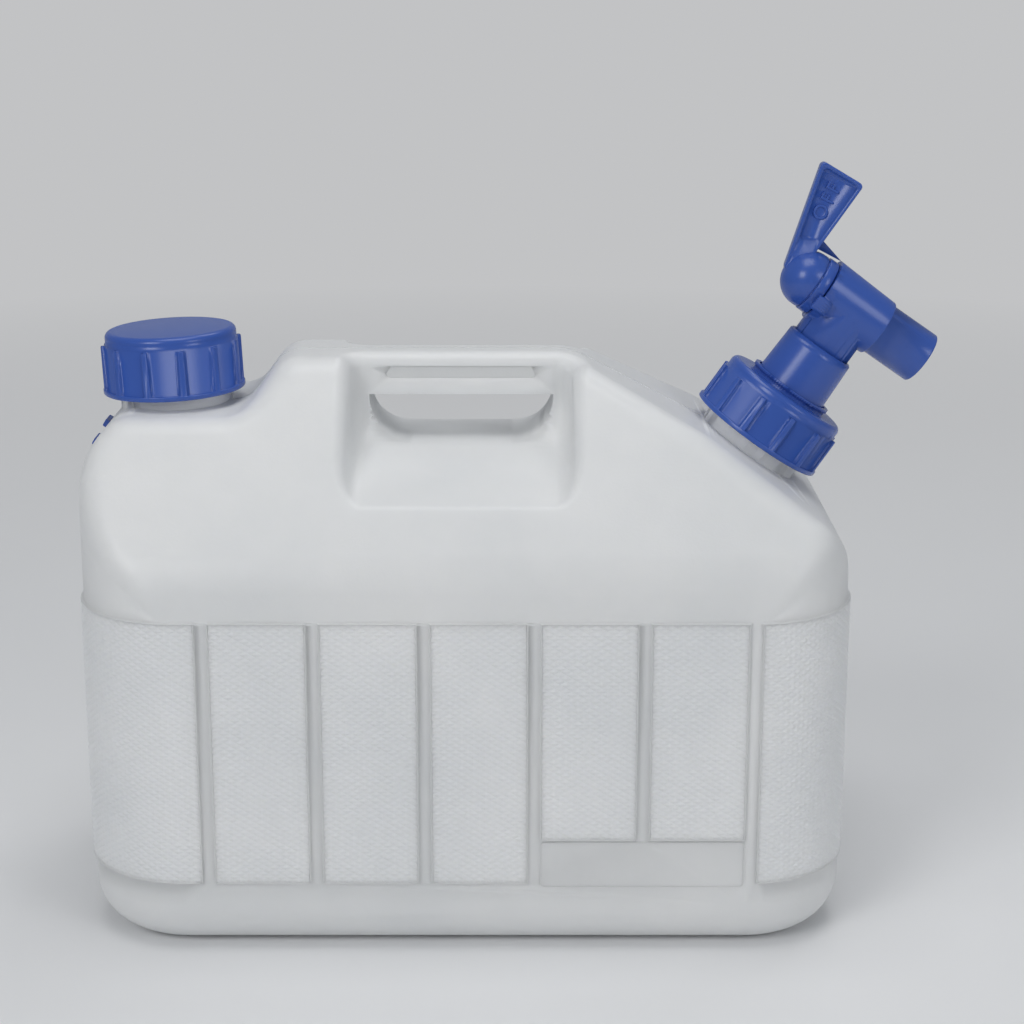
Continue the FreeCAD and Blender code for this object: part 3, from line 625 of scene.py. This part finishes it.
class CONTAINER_OT_stage(bpy.types.Operator):
    """Set the floor, the soft lights and the camera"""

    bl_idname = "container.stage"
    bl_label = "Stage"

    def execute(self, context):
        scene = context.scene
        deselect()
        bpy.ops.mesh.primitive_plane_add(size=FLOOR_SIZE, location=(0, 0, 0))
        floor = bpy.context.object
        floor.name = "stage_floor"
        editing(floor)
        bpy.ops.mesh.select_mode(type="EDGE")
        bpy.ops.mesh.select_all(action="DESELECT")
        bpy.ops.object.mode_set(mode="OBJECT")
        for edge in floor.data.edges:
            ends = [floor.data.vertices[i].co.y for i in edge.vertices]
            edge.select = min(ends) > FLOOR_SIZE / 4
        bpy.ops.object.mode_set(mode="EDIT")
        bpy.ops.mesh.extrude_edges_move(TRANSFORM_OT_translate={"value": (0, 0, BACKDROP_HEIGHT)})
        bpy.ops.object.mode_set(mode="OBJECT")
        sweep = floor.modifiers.new("sweep", "BEVEL")
        sweep.width = BACKDROP_SWEEP
        sweep.segments = SWEEP_SEGMENTS
        bpy.ops.object.modifier_apply(modifier=sweep.name)
        bpy.ops.object.shade_smooth_by_angle(angle=math.radians(40))
        floor.data.materials.append(material("stage_paint"))
        for name, place, size, power in LAMPS:
            bpy.ops.object.light_add(type="AREA", location=place)
            lamp = bpy.context.object
            lamp.name = "stage_" + name
            lamp.data.shape = "SQUARE"
            lamp.data.size = size
            lamp.data.energy = power
            lamp.rotation_euler = (LAMP_TARGET - lamp.location).to_track_quat("-Z", "Y").to_euler()
        world = bpy.data.worlds.new("stage_world")
        world.use_nodes = True
        nodes, links = world.node_tree.nodes, world.node_tree.links
        light = nodes["Background"]
        light.inputs["Color"].default_value = WORLD_COLOUR
        light.inputs["Strength"].default_value = WORLD_STRENGTH
        seen = nodes.new("ShaderNodeBackground")
        seen.inputs["Color"].default_value = (*scene.container_finishes.distance_tone, 1.0)
        sight = nodes.new("ShaderNodeLightPath")
        mixed = nodes.new("ShaderNodeMixShader")
        links.new(sight.outputs["Is Camera Ray"], mixed.inputs[0])
        links.new(light.outputs["Background"], mixed.inputs[1])
        links.new(seen.outputs["Background"], mixed.inputs[2])
        links.new(mixed.outputs["Shader"], nodes["World Output"].inputs["Surface"])
        scene.world = world
        bpy.ops.object.camera_add(location=CAMERA_PLACE, rotation=(CAMERA_TILT, 0, 0))
        camera = bpy.context.object
        camera.name = "stage_camera"
        camera.data.sensor_width = CAMERA_SENSOR
        camera.data.lens = CAMERA_LENS
        scene.camera = camera
        scene.view_settings.view_transform = "Standard"
        return {"FINISHED"}


class CONTAINER_PT_tools(bpy.types.Panel):
    """The container's operators, sizes and colours"""

    bl_idname = "CONTAINER_PT_tools"
    bl_label = "Water Container"
    bl_space_type = "VIEW_3D"
    bl_region_type = "UI"
    bl_category = "Container"

    def draw(self, context):
        for operator in OPERATORS:
            self.layout.operator(operator.bl_idname)
        for group in (context.scene.container_sizes, context.scene.container_finishes):
            column = self.layout.column(align=True)
            for name in group.bl_rna.properties.keys():
                if name not in ("rna_type", "name"):
                    column.prop(group, name)


OPERATORS = (CONTAINER_OT_bottle, CONTAINER_OT_blue_mouldings, CONTAINER_OT_seals, CONTAINER_OT_knurled_pads,
             CONTAINER_OT_label_frame, CONTAINER_OT_mould_seam, CONTAINER_OT_lever_word, CONTAINER_OT_stage)
CLASSES = (ContainerSizes, ContainerFinishes) + OPERATORS + (CONTAINER_PT_tools,)


def register():
    for cls in CLASSES:
        bpy.utils.register_class(cls)
    bpy.types.Scene.container_sizes = bpy.props.PointerProperty(type=ContainerSizes)
    bpy.types.Scene.container_finishes = bpy.props.PointerProperty(type=ContainerFinishes)


def unregister():
    del bpy.types.Scene.container_finishes
    del bpy.types.Scene.container_sizes
    for cls in reversed(CLASSES):
        bpy.utils.unregister_class(cls)


def main():
    register()
    for operator in OPERATORS:
        group, name = operator.bl_idname.split(".")
        getattr(getattr(bpy.ops, group), name)()
    deselect()


if __name__ == "__main__":
    main()
